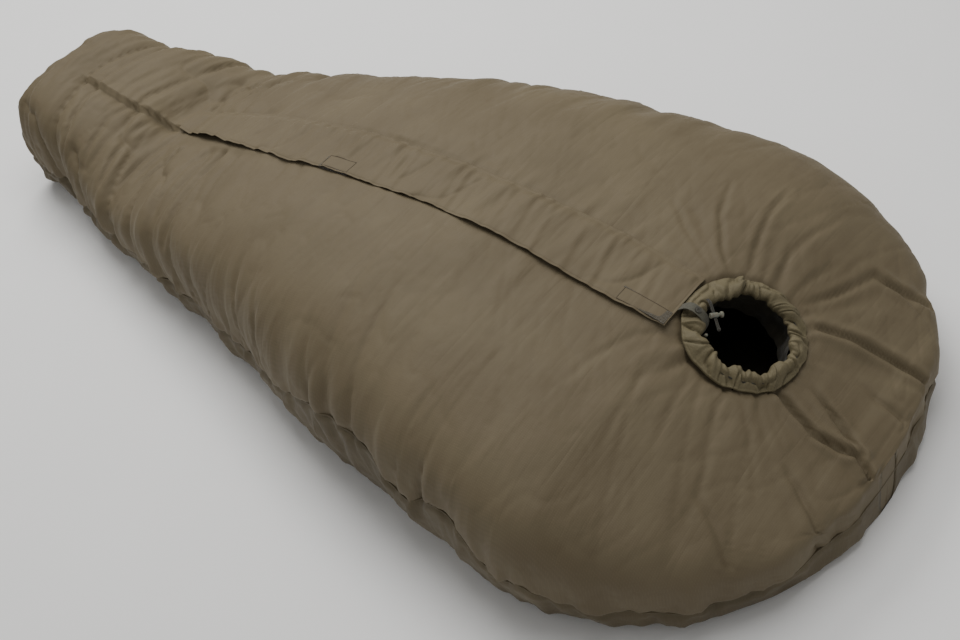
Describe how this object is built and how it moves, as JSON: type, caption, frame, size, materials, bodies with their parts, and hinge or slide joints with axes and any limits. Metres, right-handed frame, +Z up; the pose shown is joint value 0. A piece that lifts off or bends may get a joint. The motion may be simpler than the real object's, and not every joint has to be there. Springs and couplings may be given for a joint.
{
  "type": "mummy sleeping bag",
  "caption": "Insulated mummy sleeping bag with a full-length top zip, a storm flap over it and a hood drawn in to a round face opening by a sprung cord lock.",
  "frame": {"origin": "middle of the bottom of the bounding box, on the surface that the bag lies on", "axes": "+Z up, +Y from the head end to the foot end, X across the bag"},
  "size_m": [1.0324, 2.1, 0.3667],
  "materials": {
    "shell_nylon": "satin",
    "channel_nylon": "satin",
    "insulation": "soft",
    "lining_nylon": "satin",
    "cord": "braided",
    "lock_plastic": "satin",
    "spring_steel": "satin",
    "zip_tape": "woven",
    "zip_coil": "satin",
    "zip_metal": "satin",
    "hook_loop": "matte",
    "webbing": "woven",
    "snap_metal": "satin"
  },
  "bodies": {
    "root": {"base_shell": "shell_nylon", "cord_stop_bead": "lock_plastic", "draft_collar": "lining_nylon", "draft_tube": "lining_nylon", "face_channel": "channel_nylon", "face_drawcord": "cord", "flap_hook_patch_lower": "hook_loop", "foot_shell": "shell_nylon", "hood_crown_panel": "shell_nylon", "hood_shell_left": "shell_nylon", "hood_shell_right": "shell_nylon", "insulation_base": "insulation", "insulation_foot": "insulation", "insulation_hood": "insulation", "insulation_upper_left": "insulation", "insulation_upper_right": "insulation", "lining_base": "lining_nylon", "lining_foot": "lining_nylon", "lining_hood": "lining_nylon", "lining_upper_left": "lining_nylon", "lining_upper_right": "lining_nylon", "shell_loop_patches": "hook_loop", "snap_stud": "snap_metal", "storm_flap": "shell_nylon", "upper_shell_left": "shell_nylon", "upper_shell_right": "shell_nylon", "zip_bottom_stop": "zip_metal", "zip_coil_left": "zip_coil", "zip_coil_right": "zip_coil", "zip_tape_left": "zip_tape", "zip_tape_right": "zip_tape", "zip_top_stops": "zip_metal"},
    "flap_top": {"storm_flap_top": "shell_nylon", "flap_hook_patch_top": "hook_loop"},
    "slider": {"zip_slider": "zip_metal"},
    "outer_pull": {"zip_pull_outer": "zip_metal"},
    "inner_pull": {"zip_pull_inner": "zip_metal"},
    "tab": {"snap_tab": "webbing", "snap_cap": "snap_metal"},
    "face_lock": {"face_lock_body": "lock_plastic", "face_lock_spring": "spring_steel"},
    "lock_button": {"face_lock_button": "lock_plastic"}
  },
  "joints": [
    {"name": "flap_top_lift", "type": "hinge", "parent": "root", "child": "flap_top", "pos_m": [0.0576, -0.67619, 0.31392], "axis": [0, 0.9882, 0.1529], "range_deg": [0, 150]},
    {"name": "slider_travel", "type": "hinge", "parent": "root", "child": "slider", "pos_m": [0, -0.2127, -1.8163], "axis": [-1, 0, 0], "range_deg": [0, 33.3]},
    {"name": "outer_pull_swing", "type": "hinge", "parent": "slider", "child": "outer_pull", "pos_m": [0, -0.65018, 0.31462], "axis": [1, 0, 0], "range_deg": [0, 178], "deforming": ["storm_flap_top"]},
    {"name": "inner_pull_swing", "type": "hinge", "parent": "slider", "child": "inner_pull", "pos_m": [0, -0.64803, 0.30413], "axis": [1, 0, 0], "range_deg": [-50, 88]},
    {"name": "snap_tab_lift", "type": "hinge", "parent": "root", "child": "tab", "pos_m": [-0.022, -0.67007, 0.31071], "axis": [-1, 0, 0], "range_deg": [0, 75], "deforming": ["snap_tab"]},
    {"name": "face_lock_travel", "type": "slide", "parent": "root", "child": "face_lock", "axis": [-0.6198, -0.7023, -0.3502], "range_m": [0, 0.014]},
    {"name": "face_lock_press", "type": "slide", "parent": "face_lock", "child": "lock_button", "axis": [-0.7848, 0.5547, 0.2766], "range_m": [0, 0.0034], "stiffness_N_per_m": 400, "springref_m": -0.003, "deforming": ["face_lock_spring"]}
  ]
}
